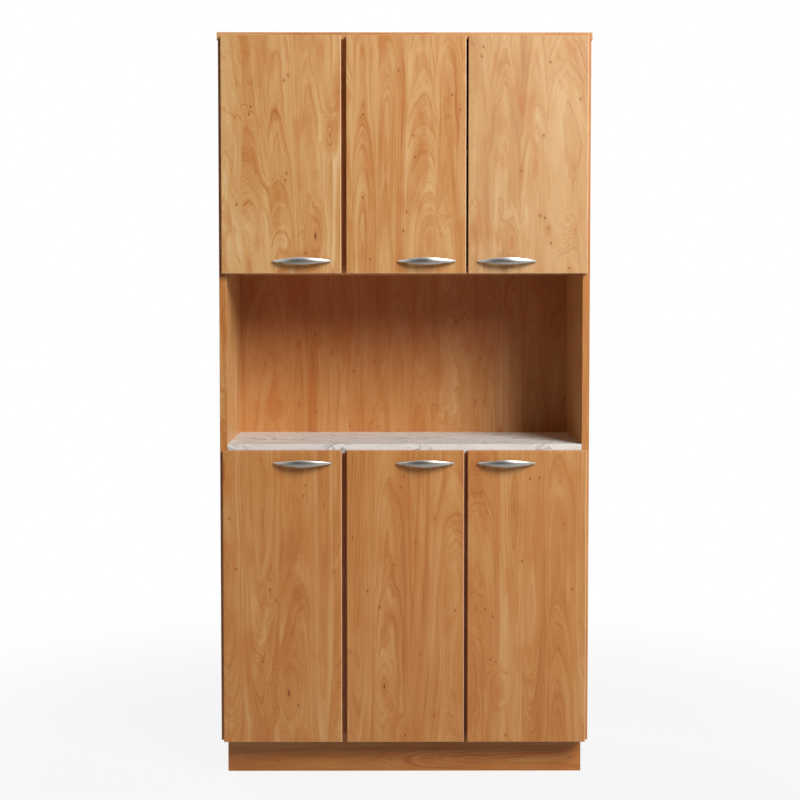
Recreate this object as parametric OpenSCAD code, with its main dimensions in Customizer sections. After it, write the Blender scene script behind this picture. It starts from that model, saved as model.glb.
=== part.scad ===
// Tall kitchen cabinet: six doors, an open niche with a worktop, a recessed plinth.
// Origin: middle of the footprint at floor level. +Z is up, the doors face -Y.
// All lengths are in millimetres.

/* [Cabinet] */
// Width across the two side panels
cabinet_w = 900; // [840:10:1020]
// Height from the floor to the top face
cabinet_h = 1815; // [1785:5:1980]
// Depth of the boards, without doors and back panels
carcass_d = 340; // [300:5:420]
// Thickness of the carcass boards
board_t = 18; // [16:1:20]
// How far the top panel stands out past each side panel
top_overhang = 2.5; // [0:0.5:6]
// Radius on the front edges of the boards
edge_r = 1; // [0.5:0.25:2]

/* [Levels] */
// Height of the plinth under the bottom panel
plinth_h = 90; // [70:5:120]
// Height of the worktop's upper face above the floor
worktop_top = 820; // [800:5:860]
// Thickness of the worktop
worktop_t = 22; // [20:1:28]
// Clear height of the open niche
niche_h = 415; // [380:5:430]

/* [Plinth] */
// Distance of the plinth behind the front edges of the boards
plinth_recess = 40; // [30:5:60]
// Distance of the plinth inside each outer face of the sides
plinth_side_inset = 12; // [8:1:14]
// Edge length of the corner blocks inside the plinth
block_s = 34; // [30:1:44]

/* [Doors] */
// Thickness of the doors
door_t = 18; // [16:1:20]
// Radius on the doors' front edges
door_edge_r = 2; // [1:0.25:3]
// Side panel edge left uncovered beside an outer door
door_reveal = 8; // [7:0.5:9]
// Gap between the left and the middle door, in front of the divider
divider_gap = 12; // [8:0.5:13]
// Gap between the upper middle and the upper right door
pair_gap = 5; // [3:0.5:8]
// Gap between the lower middle and the lower right door, in front of their divider
lower_pair_gap = 8.5; // [6:0.5:12]
// Top panel edge left uncovered above the upper doors
door_top_reveal = 10; // [8:0.5:10]
// How far the lower doors reach up over the worktop's front edge
worktop_lap = 8; // [7:0.5:10]

/* [Handles] */
// Length of a handle from tip to tip
handle_l = 140; // [124:2:160]
// Height of a handle in its middle
handle_h = 18.5; // [15:0.5:24]
// How far a handle stands out from the door in its middle
handle_out = 25; // [22:0.5:30]
// How far a handle's tips stand out from the door
tip_out = 6; // [5:0.5:9]
// Thickness of the bow in its middle
bow_t = 7; // [5.5:0.5:8]
// Thickness of the bow at its tips
tip_t = 3; // [2.5:0.25:4]
// Height of the bow at its blunt tips
tip_h = 4; // [3:0.25:5]
// How full the bow's outline is between middle and tips: 1 tapers straight, 2 is an arc
leaf_fullness = 1.35; // [1.2:0.05:2]
// Radius of the bow's crowned front across its height
bow_crown_r = 22; // [18:1:40]
// Distance between a handle's two posts
handle_centres = 96; // [88:4:100]
// Diameter of the posts
post_d = 8; // [7.5:0.5:9]
// Distance from a handle's tip to the door's free edge
handle_to_edge = 24; // [15:1:40]
// Distance from a handle's middle line to the door's end
handle_to_end = 30; // [25:1:45]

/* [Hinges] */
// Diameter of the hinge cup
cup_d = 35; // [34:0.5:36]
// Depth of the hinge cup in the door
cup_depth = 12.5; // [12:0.25:13]
// Wood left between the cup and the door's edge
cup_edge = 3; // [3:0.25:4]
// Wall of the cup
cup_wall = 0.8; // [0.6:0.1:1]
// Floor of the cup and thickness of its flange
cup_floor = 1; // [0.8:0.1:1.2]
// Diameter of the hinge pin
pin_d = 2.4; // [2:0.1:2.6]
// Outer diameter of the arm's knuckle round the pin
knuckle_d = 4.2; // [4:0.1:4.6]
// Width of the knuckle and of the arm's neck
neck_w = 10; // [8:0.5:11]
// Distance from a hinge's middle to the door's end
hinge_inset = 90; // [85:5:120]
// Distance from the board's front edge to the mounting plate's screws
plate_setback = 37; // [36:1:40]
// Distance between the mounting plate's screws
plate_screw_pitch = 32; // [28:1:36]
// Distance between the two screws of a cup
cup_screw_pitch = 45; // [42:1:52]
// Distance of the cup's screws behind the middle of the cup
cup_screw_back = 9.5; // [6:0.5:10]

/* [Shelves] */
// Thickness of the shelves
shelf_t = 18; // [16:1:22]
// How far the upper shelves lie above the middle of their compartments
upper_shelf_shift = 0; // [-32:1:32]
// How far the lower shelves lie above the middle of their compartments
lower_shelf_shift = 0; // [-32:1:32]
// Distance of the shelves behind the boards' front edges
shelf_setback = 20; // [15:1:40]
// Gap at each end of a shelf
shelf_end_gap = 1; // [0.5:0.25:2]
// Diameter of the shelf pins
shelf_pin_d = 5; // [4.5:0.5:6]
// Length of a shelf pin inside the board
shelf_pin_in = 7; // [6:0.5:7.5]
// Length of a shelf pin under the shelf
shelf_pin_out = 8; // [6:0.5:10]
// Pitch of the rows of holes for the shelf pins
hole_pitch = 32; // [25:1:32]

/* [Back panels] */
// Thickness of the back panels
back_t = 3; // [3:0.5:5]
// Distance of the back panels' edges inside the outer faces
back_inset = 1; // [0.5:0.5:3]
// Gap between two back panels
back_seam = 1; // [0.5:0.5:2]
// Length of the nails
nail_l = 20; // [16:1:25]
// Largest distance between two nails
nail_pitch = 150; // [110:10:200]

/* [Fixings] */
// Diameter of the cam locks
cam_d = 15; // [14:0.5:16]
// Distance of a cam's middle from the joint
cam_back = 34; // [30:1:38]
// Distance of the outer cams from the boards' front and rear edges
cam_from_edge = 50; // [45:1:70]
// Distance from a cam bolt to the dowel beside it
dowel_from_cam = 32; // [25:1:40]
// Diameter of the dowels
dowel_d = 8; // [6:0.5:8]
// Length of the dowels
dowel_l = 30; // [25:1:35]
// Depth of cam bolts and dowels in the face of a board
face_depth = 10.5; // [9:0.5:11]
// Diameter of a wood screw
screw_d = 3.5; // [3:0.25:4]
// Diameter of a wood screw's head
screw_head_d = 6.6; // [6:0.2:7]
// Diameter of the handle screws
handle_screw_d = 4; // [3.5:0.5:4]
// Diameter of the bumpers
bumper_d = 6; // [5:0.5:6]

/* [Wall fixing] */
// Distance between the two wall brackets
bracket_pitch = 600; // [560:10:640]
// Width of a bracket
bracket_w = 25; // [20:1:30]
// Length of each leg of a bracket
bracket_leg = 40; // [35:1:50]
// Thickness of a bracket
bracket_t = 2; // [1.5:0.25:3]
// Distance of the wall hole under the top panel
wall_hole_drop = 25; // [22:1:28]
// Diameter of the wall holes
wall_hole_d = 5.5; // [4.5:0.5:6.5]

/* [Hidden] */
$fn = 64;

// Colours
wood_colour = [0.78, 0.57, 0.36];
wood_dark_colour = [0.62, 0.41, 0.24];
marble_colour = [0.86, 0.84, 0.81];
nickel_colour = [0.66, 0.65, 0.63];
steel_colour = [0.75, 0.76, 0.78];
beech_colour = [0.85, 0.72, 0.53];
pad_colour = [0.82, 0.80, 0.76];

// Small clearances
fit = 0.02;
hole_fit = 0.05;
seat = 0.3;

// How far a cut runs past a face, and how far two joined shapes run into each other
past = 1;

// Hinge geometry, measured from the door's hinge edge and its rear face
pin_clear = 0.04;
knuckle_floor_gap = 0.9;
knuckle_wall_gap = 0.35;
lug_gap = 0.3;
swing_clear = 0.5;
stem_clear = 0.5;
stem_t = 3.5;
neck_top = 1.2;
cup_r = cup_d / 2;
cup_in_r = cup_r - cup_wall;
cup_u = cup_edge + cup_r;
knuckle_r = knuckle_d / 2;
pivot_depth = cup_depth - cup_floor - knuckle_r - knuckle_floor_gap;
pivot_in = cup_u - sqrt(pow(cup_in_r, 2) - pow(neck_w / 2, 2)) + knuckle_r + knuckle_wall_gap;
swing_r = norm([pivot_in, pivot_depth]);
door_gap = swing_r - pivot_depth + swing_clear;
stem_u = pivot_in + swing_r + stem_clear;
arm_u = stem_u + stem_t;
flange_over = 1;
lug_top = 2.5;
pin_half = 8.5;
arm_wall = 1.5;
arm_w = 14;
arm_front_clear = 2;
arm_front = door_gap + arm_front_clear;
plate_v = door_gap + plate_setback;
arm_past_plate = 19;
arm_rear = plate_v + arm_past_plate;
plate_base_t = 2;
plate_wing_w = 16;
plate_end = 7;
plate_half_z = plate_screw_pitch / 2 + plate_end;
rib_w = 9;
rib_setback = 18;
rib_front = door_gap + rib_setback;
cup_screw_u = cup_u + cup_screw_back;
ear_r = 5.5;
screw_head_t = 1.4;
screw_in = 12;
arm_screw_r = 2;
screw_tip_gap = 1;
arm_screw_behind_rib = 6;
arm_screw_behind_plate = 8;
arm_screw_vs = [rib_front + arm_screw_behind_rib, plate_v + arm_screw_behind_plate];

// Depths along Y
total_d = handle_out + door_t + door_gap + carcass_d + back_t;
door_front_y = -total_d / 2 + handle_out;
door_rear_y = door_front_y + door_t;
front_y = door_rear_y + door_gap;
rear_y = front_y + carcass_d;
back_y = rear_y + back_t;

// Heights along Z
bottom_top = plinth_h + board_t;
worktop_under = worktop_top - worktop_t;
floor_under = worktop_top + niche_h;
floor_top = floor_under + board_t;
top_under = cabinet_h - board_t;
upper_shelf_z = (floor_top + top_under - shelf_t) / 2 + upper_shelf_shift;
lower_shelf_z = (bottom_top + worktop_under - shelf_t) / 2 + lower_shelf_shift;

// Doors across the front
half_w = cabinet_w / 2;
inner_x = half_w - board_t;
door_w = (cabinet_w - 2 * door_reveal - divider_gap - pair_gap) / 3;
left_door_x = -half_w + door_reveal;
middle_door_x = left_door_x + door_w + divider_gap;
right_door_x = middle_door_x + door_w + pair_gap;
lower_middle_w = door_w + pair_gap - lower_pair_gap;
divider_x = middle_door_x - divider_gap / 2;
right_divider_x = right_door_x - lower_pair_gap / 2;
side_overlay = board_t - door_reveal;
divider_overlay = (board_t - divider_gap) / 2;
upper_door_z = floor_under;
upper_door_h = cabinet_h - door_top_reveal - upper_door_z;
lower_door_z = plinth_h;
lower_door_h = worktop_under + worktop_lap - lower_door_z;

// A door: left edge, bottom, width, height, hinge side, overlay on its board, handle height in the door
DOOR_X = 0;
DOOR_Z = 1;
DOOR_W = 2;
DOOR_H = 3;
DOOR_SIDE = 4;
DOOR_OVERLAY = 5;
DOOR_HANDLE = 6;
upper_handle_z = handle_to_end;
lower_handle_z = lower_door_h - handle_to_end;
upper_left = [left_door_x, upper_door_z, door_w, upper_door_h, -1, side_overlay, upper_handle_z];
upper_middle = [middle_door_x, upper_door_z, door_w, upper_door_h, -1, divider_overlay, upper_handle_z];
upper_right = [right_door_x, upper_door_z, door_w, upper_door_h, 1, side_overlay, upper_handle_z];
lower_left = [left_door_x, lower_door_z, door_w, lower_door_h, -1, side_overlay, lower_handle_z];
lower_middle =
    [middle_door_x, lower_door_z, lower_middle_w, lower_door_h, -1, divider_overlay, lower_handle_z];
lower_right = [right_door_x, lower_door_z, door_w, lower_door_h, 1, side_overlay, lower_handle_z];
DOORS = [upper_left, upper_middle, upper_right, lower_left, lower_middle, lower_right];

// Handle geometry: the bow's outer and inner faces are arcs seen from above
bow_drop = handle_out - tip_out;
bow_r = (pow(handle_l / 2, 2) + pow(bow_drop, 2)) / (2 * bow_drop);
inner_drop = handle_out - bow_t - (tip_out - tip_t);
inner_r = (pow(handle_l / 2, 2) + pow(inner_drop, 2)) / (2 * inner_drop);
leaf_steps = 8;
leaf_edge = [for (i = [-leaf_steps : leaf_steps]) leaf_point(i / leaf_steps)];
function leaf_point(s) =
    [s * handle_l / 2, (tip_h + (handle_h - tip_h) * (1 - pow(abs(s), leaf_fullness))) / 2];
post_x = handle_centres / 2;
bow_outer_at_post = handle_out - bow_r + sqrt(pow(bow_r, 2) - pow(post_x, 2));
bow_inner_at_post = handle_out - bow_t - inner_r + sqrt(pow(inner_r, 2) - pow(post_x, 2));
post_l = (bow_outer_at_post + bow_inner_at_post) / 2;
bow_skin = 3;
handle_thread = bow_inner_at_post - bow_skin;
handle_screw_head_r = 4;
handle_screw_head_t = 2.4;
handle_mid = handle_to_edge + handle_l / 2;
bow_fn = 240;
crown_fn = 120;

// Board joints: the board drilled in its face, the board that holds the cams, place, turn, thickness.
// In a joint's own frame +z points into the cam board, +x points at the face that shows the cams.
side_mid_x = half_w - board_t / 2;
JOINTS = [
    ["top_panel", "left_side", [-side_mid_x, top_under], [180, 0, 0], board_t],
    ["top_panel", "right_side", [side_mid_x, top_under], [180, 0, 180], board_t],
    ["top_panel", "upper_divider", [divider_x, top_under], [180, 0, 0], board_t],
    ["upper_floor", "upper_divider", [divider_x, floor_top], [0, 0, 0], board_t],
    ["left_side", "upper_floor", [-inner_x, floor_under + board_t / 2], [180, -90, 0], board_t],
    ["right_side", "upper_floor", [inner_x, floor_under + board_t / 2], [0, -90, 0], board_t],
    ["left_side", "worktop", [-inner_x, worktop_top - worktop_t / 2], [0, 90, 0], worktop_t],
    ["right_side", "worktop", [inner_x, worktop_top - worktop_t / 2], [180, 90, 0], worktop_t],
    ["left_side", "bottom_panel", [-inner_x, plinth_h + board_t / 2], [0, 90, 0], board_t],
    ["right_side", "bottom_panel", [inner_x, plinth_h + board_t / 2], [180, 90, 0], board_t],
    ["worktop", "lower_divider", [divider_x, worktop_under], [180, 0, 0], board_t],
    ["bottom_panel", "lower_divider", [divider_x, bottom_top], [0, 0, 0], board_t],
    ["worktop", "lower_right_divider", [right_divider_x, worktop_under], [180, 0, 0], board_t],
    ["bottom_panel", "lower_right_divider", [right_divider_x, bottom_top], [0, 0, 0], board_t]
];
bolt_shank_r = 3;
bolt_thread_r = 2.5;
bolt_head_r = 3.2;
bolt_head_l = 3;
bolt_neck_r = 2;
bolt_neck_l = 6;
bolt_bore_r = 3.8;
cam_reach = 3.5;

// Nails of the back panels: board that they hold in, panel, place in X and Z
function steps(a, b, pitch) = let (n = ceil((b - a) / pitch)) [for (i = [0 : n]) a + (b - a) * i / n];
nail_r = 0.8;
nail_head_r = 1.8;
nail_head_t = 0.6;
nail_edge = board_t / 4;
nail_corner = 40;
upper_seam = floor_under + board_t / 2;
lower_seam = worktop_top - worktop_t / 2;
UPPER_POSTS = [["upper_divider", divider_x]];
LOWER_POSTS = [["lower_divider", divider_x], ["lower_right_divider", right_divider_x]];
BACKS = [
    ["upper_back_panel", upper_seam, cabinet_h - back_inset, "upper_floor", "top_panel", UPPER_POSTS],
    ["niche_back_panel", lower_seam, upper_seam, "worktop", "upper_floor", []],
    ["lower_back_panel", plinth_h + back_inset, lower_seam, "bottom_panel", "worktop", LOWER_POSTS]
];
function across() = steps(-half_w + nail_corner, half_w - nail_corner, nail_pitch);
function upwards(b) = steps(b[1] + nail_corner, b[2] - nail_corner, nail_pitch);
function back_rows(b) = concat(
    [for (x = across()) [b[3], b[0], x, b[1] + nail_edge]],
    [for (x = across()) [b[4], b[0], x, b[2] - nail_edge]],
    [for (z = upwards(b)) ["left_side", b[0], -side_mid_x, z]],
    [for (z = upwards(b)) ["right_side", b[0], side_mid_x, z]],
    [for (post = b[5]) for (z = upwards(b)) [post[0], b[0], post[1], z]]
);
NAILS = [for (b = BACKS) each back_rows(b)];

// Plinth
plinth_front_y = front_y + plinth_recess;
plinth_half_w = half_w - plinth_side_inset;

// Places of the screws in a corner block, as shares of its edge
block_near = block_s * 0.3;
block_far = block_s * 0.7;
block_high = block_s / 4;
block_low = block_s * 3 / 4;

// Shelves: name of the shelf, left and right end, height, boards that carry it
SHELVES = [
    ["upper_left_shelf", -inner_x, divider_x - board_t / 2, upper_shelf_z, "left_side", "upper_divider"],
    ["upper_right_shelf", divider_x + board_t / 2, inner_x, upper_shelf_z, "upper_divider", "right_side"],
    ["lower_left_shelf", -inner_x, divider_x - board_t / 2, lower_shelf_z, "left_side", "lower_divider"],
    ["lower_middle_shelf", divider_x + board_t / 2, right_divider_x - board_t / 2, lower_shelf_z,
     "lower_divider", "lower_right_divider"],
    ["lower_right_shelf", right_divider_x + board_t / 2, inner_x, lower_shelf_z,
     "lower_right_divider", "right_side"]
];
pin_from_front = 60;
pin_from_rear = 40;
shelf_pin_ys = [front_y + pin_from_front, rear_y - pin_from_rear];
spare_holes = [-2, -1, 0, 1, 2];

// A board's section with a rounded front edge: depth along x from 0, thickness along y from 0
module edged_section(depth, thick, r) {
    translate([r, 0]) square([depth - r, thick]);
    translate([0, r]) square([r, thick - 2 * r]);
    translate([r, r]) circle(r);
    translate([r, thick - r]) circle(r);
}

// A level board from x0 to x1, standing on height z
module level_board(x0, x1, z, thick, y0, depth) {
    translate([x0, y0, z])
        rotate([90, 0, 90])
            linear_extrude(x1 - x0) edged_section(depth, thick, edge_r);
}

// An upright board whose left face is at x, from z0 to z1
module upright_board(x, z0, z1, thick) {
    translate([x + thick, front_y, z0])
        rotate([0, 0, 90])
            linear_extrude(z1 - z0) edged_section(carcass_d, thick, edge_r);
}

// Copies its children into the frame of every place of one joint, dy from its cam places
module joint_places(j, dy) {
    for (y = [front_y + cam_from_edge + dy, rear_y - cam_from_edge - dy])
        translate([j[2][0], y, j[2][1]])
            rotate(j[3])
                children();
}

// A cylinder along x from x0 to x1
module x_rod(x0, x1, r) {
    translate([x0, 0, 0]) rotate([0, 90, 0]) cylinder(h = x1 - x0, r = r);
}

// A cylinder along y from y0 to y1
module y_rod(y0, y1, r) {
    translate([0, y0, 0]) rotate([-90, 0, 0]) cylinder(h = y1 - y0, r = r);
}

// Everything that is drilled into the board called name: joints, hinge plates, shelf pins, nails
module board_drillings(name) {
    for (j = JOINTS)
        if (j[0] == name || j[1] == name) {
            joint_places(j, 0) joint_bores(j[4]);
            joint_places(j, dowel_from_cam)
                translate([0, 0, -face_depth - hole_fit])
                    cylinder(h = dowel_l + 2 * hole_fit, r = dowel_d / 2 + hole_fit);
        }
    for (n = NAILS)
        if (n[0] == name || n[1] == name)
            translate([n[2], back_y, n[3]]) {
                y_rod(-nail_l, -nail_head_t, nail_r + fit);
                y_rod(-nail_head_t, nail_head_t, nail_head_r + fit);
            }
    for (s = SHELVES)
        if (s[4] == name || s[5] == name)
            shelf_pin_holes(s, name == s[4] ? s[1] : s[2], name == s[4] ? -1 : 1);
}

module joint_bores(thick) {
    translate([0, 0, -face_depth - hole_fit]) cylinder(h = face_depth + 2 * hole_fit, r = bolt_thread_r + fit);
    cylinder(h = cam_back, r = bolt_bore_r);
    translate([0, 0, cam_back]) x_rod(-cam_reach - hole_fit, thick, cam_d / 2 + hole_fit);
}

module shelf_pin_holes(s, x, side) {
    for (y = shelf_pin_ys)
        for (i = spare_holes)
            translate([x, y, s[3] - shelf_pin_d / 2 + i * hole_pitch])
                x_rod(side < 0 ? -shelf_pin_in - hole_fit : -past,
                      side < 0 ? past : shelf_pin_in + hole_fit, shelf_pin_d / 2 + hole_fit);
}

// Places its children at both hinges of a door. Own frame: x from the door's hinge edge
// inwards, y from the door's rear face backwards, z up from the hinge's middle
module at_hinges(d) {
    for (z = [d[DOOR_Z] + hinge_inset, d[DOOR_Z] + d[DOOR_H] - hinge_inset])
        translate([d[DOOR_SIDE] < 0 ? d[DOOR_X] : d[DOOR_X] + d[DOOR_W], door_rear_y, z])
            mirror([d[DOOR_SIDE] < 0 ? 0 : 1, 0, 0])
                children();
}

// Places its children at the two plate screws of a hinge, in the hinge's frame
module at_plate_screws(overlay) {
    for (z = [-plate_screw_pitch / 2, plate_screw_pitch / 2])
        translate([overlay, plate_v, z]) children();
}

module plate_screw_holes(d) {
    at_hinges(d)
        at_plate_screws(d[DOOR_OVERLAY])
            x_rod(-screw_in - hole_fit, past, screw_d / 2 + fit);
}

// Carcass boards
module left_side() {
    color(wood_colour) difference() {
        upright_board(-half_w, plinth_h, top_under, board_t);
        board_drillings("left_side");
        plate_screw_holes(upper_left);
        plate_screw_holes(lower_left);
    }
}

module right_side() {
    color(wood_colour) difference() {
        upright_board(inner_x, plinth_h, top_under, board_t);
        board_drillings("right_side");
        plate_screw_holes(upper_right);
        plate_screw_holes(lower_right);
    }
}

module top_panel() {
    color(wood_colour) difference() {
        level_board(-half_w - top_overhang, half_w + top_overhang, top_under, board_t, front_y, carcass_d);
        board_drillings("top_panel");
        at_brackets() bracket_screw(fit, past);
    }
}

module upper_floor() {
    color(wood_colour) difference() {
        level_board(-inner_x, inner_x, floor_under, board_t, front_y, carcass_d);
        board_drillings("upper_floor");
    }
}

module worktop() {
    color(marble_colour) difference() {
        level_board(-inner_x, inner_x, worktop_under, worktop_t, front_y, carcass_d);
        board_drillings("worktop");
    }
}

module bottom_panel() {
    color(wood_colour) difference() {
        level_board(-inner_x, inner_x, plinth_h, board_t, front_y, carcass_d);
        board_drillings("bottom_panel");
        at_plinth_corners() block_screw_paths(fit, past);
    }
}

module upper_divider() {
    color(wood_dark_colour) difference() {
        upright_board(divider_x - board_t / 2, floor_top, top_under, board_t);
        board_drillings("upper_divider");
        plate_screw_holes(upper_middle);
    }
}

module lower_divider() {
    color(wood_dark_colour) difference() {
        upright_board(divider_x - board_t / 2, bottom_top, worktop_under, board_t);
        board_drillings("lower_divider");
        plate_screw_holes(lower_middle);
    }
}

module lower_right_divider() {
    color(wood_dark_colour) difference() {
        upright_board(right_divider_x - board_t / 2, bottom_top, worktop_under, board_t);
        board_drillings("lower_right_divider");
    }
}

// Back panels and their nails
module back_panel(b) {
    translate([-half_w + back_inset, rear_y, b[1] + back_seam / 2])
        cube([cabinet_w - 2 * back_inset, back_t, b[2] - b[1] - back_seam]);
}

module upper_back_panel() {
    color(wood_colour) difference() {
        back_panel(BACKS[0]);
        board_drillings("upper_back_panel");
        at_brackets() wall_hole(back_t + past);
    }
}

module niche_back_panel() {
    color(wood_colour) difference() {
        back_panel(BACKS[1]);
        board_drillings("niche_back_panel");
    }
}

module lower_back_panel() {
    color(wood_colour) difference() {
        back_panel(BACKS[2]);
        board_drillings("lower_back_panel");
    }
}

module back_panel_nails() {
    color(steel_colour)
        for (n = NAILS)
            translate([n[2], back_y, n[3]]) {
                y_rod(-nail_l + fit, -nail_head_t / 2, nail_r);
                y_rod(-nail_head_t, 0, nail_head_r);
            }
}

// Plinth
module plinth_cross_board(y) {
    color(wood_colour) difference() {
        translate([-plinth_half_w, y, 0]) cube([2 * plinth_half_w, board_t, plinth_h]);
        at_plinth_corners() block_screw_paths(fit, past);
    }
}

module plinth_front() {
    plinth_cross_board(plinth_front_y);
}

module plinth_back() {
    plinth_cross_board(rear_y - board_t);
}

module plinth_return(x) {
    translate([x, plinth_front_y + board_t, 0])
        cube([board_t, rear_y - plinth_front_y - 2 * board_t, plinth_h]);
}

module plinth_left() {
    color(wood_colour) difference() {
        plinth_return(-plinth_half_w);
        at_plinth_corners() block_screw_paths(fit, past);
    }
}

module plinth_right() {
    color(wood_colour) difference() {
        plinth_return(plinth_half_w - board_t);
        at_plinth_corners() block_screw_paths(fit, past);
    }
}

// Places its children at the inner corners of the plinth, under the bottom panel.
// Own frame: x and y point into the room inside the plinth, z up
module at_plinth_corners() {
    for (sx = [-1, 1])
        for (end = [0, 1])
            translate([sx * (plinth_half_w - board_t),
                       end == 0 ? plinth_front_y + board_t : rear_y - board_t, plinth_h])
                mirror([sx < 0 ? 0 : 1, 0, 0])
                    mirror([0, end, 0])
                        children();
}

// The three screws of a corner block: up into the bottom panel, out into the plinth's
// return, and out into its front or back board
module block_screw_paths(grow, over) {
    r = screw_d / 2 + grow;
    translate([block_near, block_near, -block_s - over]) cylinder(h = block_s + screw_in + grow + over, r = r);
    translate([0, block_far, -block_high]) x_rod(-screw_in - grow, block_s + over, r);
    translate([block_far, 0, -block_low]) y_rod(-screw_in - grow, block_s + over, r);
}

module block_screw_heads() {
    r = screw_head_d / 2;
    translate([block_near, block_near, -block_s - screw_head_t]) cylinder(h = screw_head_t, r = r);
    translate([0, block_far, -block_high]) x_rod(block_s, block_s + screw_head_t, r);
    translate([block_far, 0, -block_low]) y_rod(block_s, block_s + screw_head_t, r);
}

module plinth_corner_blocks() {
    color(beech_colour)
        at_plinth_corners()
            difference() {
                translate([0, 0, -block_s]) cube(block_s);
                block_screw_paths(fit, past);
            }
}

module plinth_screws() {
    color(steel_colour)
        at_plinth_corners() {
            block_screw_paths(0, 0);
            block_screw_heads();
        }
}

// Shelves
module shelf(s) {
    color(wood_colour)
        level_board(s[1] + shelf_end_gap, s[2] - shelf_end_gap, s[3], shelf_t,
                    front_y + shelf_setback, carcass_d - shelf_setback - shelf_end_gap);
}

module shelf_pins() {
    collar_rim = 1;
    collar_r = shelf_pin_d / 2 + collar_rim;
    collar_t = shelf_end_gap / 2;
    color(steel_colour)
        for (s = SHELVES)
            for (y = shelf_pin_ys)
                for (end = [[s[1], 1], [s[2], -1]])
                    translate([end[0], y, s[3] - shelf_pin_d / 2])
                        mirror([end[1] > 0 ? 0 : 1, 0, 0])
                            union() {
                                x_rod(-shelf_pin_in, shelf_pin_out, shelf_pin_d / 2);
                                x_rod(0, collar_t, collar_r);
                            }
}

// Board joints
module cam_locks() {
    slot_l = cam_d * 0.6;
    slot_w = 1.6;
    slot_deep = 2;
    color(steel_colour)
        for (j = JOINTS)
            joint_places(j, 0)
                translate([0, 0, cam_back])
                    difference() {
                        x_rod(-cam_reach, j[4] / 2 - seat, cam_d / 2);
                        translate([0, 0, -cam_d]) cylinder(h = cam_d + bolt_head_l / 2, r = bolt_head_r + fit);
                        translate([j[4] / 2 - slot_deep, -slot_l / 2, -slot_w / 2])
                            cube([slot_deep, slot_l, slot_w]);
                        translate([j[4] / 2 - slot_deep, -slot_w / 2, -slot_l / 2])
                            cube([slot_deep, slot_w, slot_l]);
                    }
}

module cam_bolts() {
    neck_z = cam_back + bolt_head_l / 2 - bolt_head_l - bolt_neck_l;
    color(steel_colour)
        for (j = JOINTS)
            joint_places(j, 0)
                union() {
                    translate([0, 0, -face_depth]) cylinder(h = face_depth + past, r = bolt_thread_r);
                    cylinder(h = neck_z, r = bolt_shank_r);
                    translate([0, 0, neck_z - past]) cylinder(h = bolt_neck_l + 2 * past, r = bolt_neck_r);
                    translate([0, 0, neck_z + bolt_neck_l]) cylinder(h = bolt_head_l, r = bolt_head_r);
                }
}

module dowels() {
    color(beech_colour)
        for (j = JOINTS)
            joint_places(j, dowel_from_cam)
                translate([0, 0, -face_depth])
                    cylinder(h = dowel_l, r = dowel_d / 2);
}

// Hinges, in the frame of at_hinges
module hinge_arms() {
    color(steel_colour)
        for (d = DOORS)
            at_hinges(d) hinge_arm(d[DOOR_OVERLAY]);
}

module hinge_arm(overlay) {
    wall_base = overlay + plate_base_t + seat;
    difference() {
        union() {
            translate([pivot_in, -pivot_depth, -neck_w / 2]) cylinder(h = neck_w, r = knuckle_r);
            translate([pivot_in, -pivot_depth - knuckle_r, -neck_w / 2])
                cube([arm_u - pivot_in, knuckle_r + neck_top, neck_w]);
            translate([stem_u, -pivot_depth - knuckle_r, -neck_w / 2])
                cube([stem_t, pivot_depth + knuckle_r + arm_front + 2 * arm_wall, neck_w]);
            translate([wall_base, arm_front, -arm_w / 2])
                cube([arm_u - wall_base, arm_rear - arm_front, arm_w]);
        }
        translate([wall_base - past, arm_front + 2 * arm_wall, -arm_w / 2 + arm_wall])
            cube([arm_u - arm_wall - wall_base + past, arm_rear - arm_front, arm_w - 2 * arm_wall]);
        translate([pivot_in, -pivot_depth, -neck_w]) cylinder(h = 2 * neck_w, r = pin_d / 2 + fit);
        for (v = arm_screw_vs)
            translate([0, v, 0]) x_rod(arm_u - 2 * arm_wall, arm_u + past, arm_screw_r + fit);
    }
}

module hinge_plates() {
    color(steel_colour)
        for (d = DOORS)
            at_hinges(d) hinge_plate(d[DOOR_OVERLAY]);
}

module hinge_plate(overlay) {
    rib_top = arm_u - arm_wall;
    difference() {
        union() {
            translate([overlay, plate_v - plate_wing_w / 2, -plate_half_z])
                cube([plate_base_t, plate_wing_w, 2 * plate_half_z]);
            translate([overlay, rib_front, -arm_w / 2])
                cube([plate_base_t, arm_rear - rib_front, arm_w]);
            translate([overlay, rib_front, -rib_w / 2])
                cube([rib_top - overlay, arm_rear - rib_front, rib_w]);
        }
        at_plate_screws(overlay) x_rod(-past, plate_base_t + past, screw_d / 2 + fit);
        for (v = arm_screw_vs)
            translate([0, v, 0]) x_rod(overlay + plate_base_t, rib_top + past, arm_screw_r + fit);
    }
}

module hinge_pins() {
    color(steel_colour)
        for (d = DOORS)
            at_hinges(d)
                translate([pivot_in, -pivot_depth, -pin_half])
                    cylinder(h = 2 * pin_half, r = pin_d / 2);
}

module hinge_plate_screws() {
    color(steel_colour)
        for (d = DOORS)
            at_hinges(d)
                at_plate_screws(d[DOOR_OVERLAY])
                    union() {
                        x_rod(-screw_in, plate_base_t, screw_d / 2);
                        x_rod(plate_base_t, plate_base_t + screw_head_t, screw_head_d / 2);
                    }
}

module hinge_arm_screws() {
    color(steel_colour)
        for (d = DOORS)
            at_hinges(d)
                for (v = arm_screw_vs)
                    translate([0, v, 0])
                        union() {
                            x_rod(d[DOOR_OVERLAY] + plate_base_t + seat, arm_u, arm_screw_r);
                            x_rod(arm_u, arm_u + screw_head_t, screw_head_d / 2);
                        }
}

// Wall brackets under the top panel, in the frame of at_brackets:
// x across, y forwards from the back panel's inner face, z down from the top panel
module at_brackets() {
    for (x = [-bracket_pitch / 2, bracket_pitch / 2])
        translate([x, rear_y, top_under])
            rotate([180, 0, 0])
                children();
}

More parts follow.
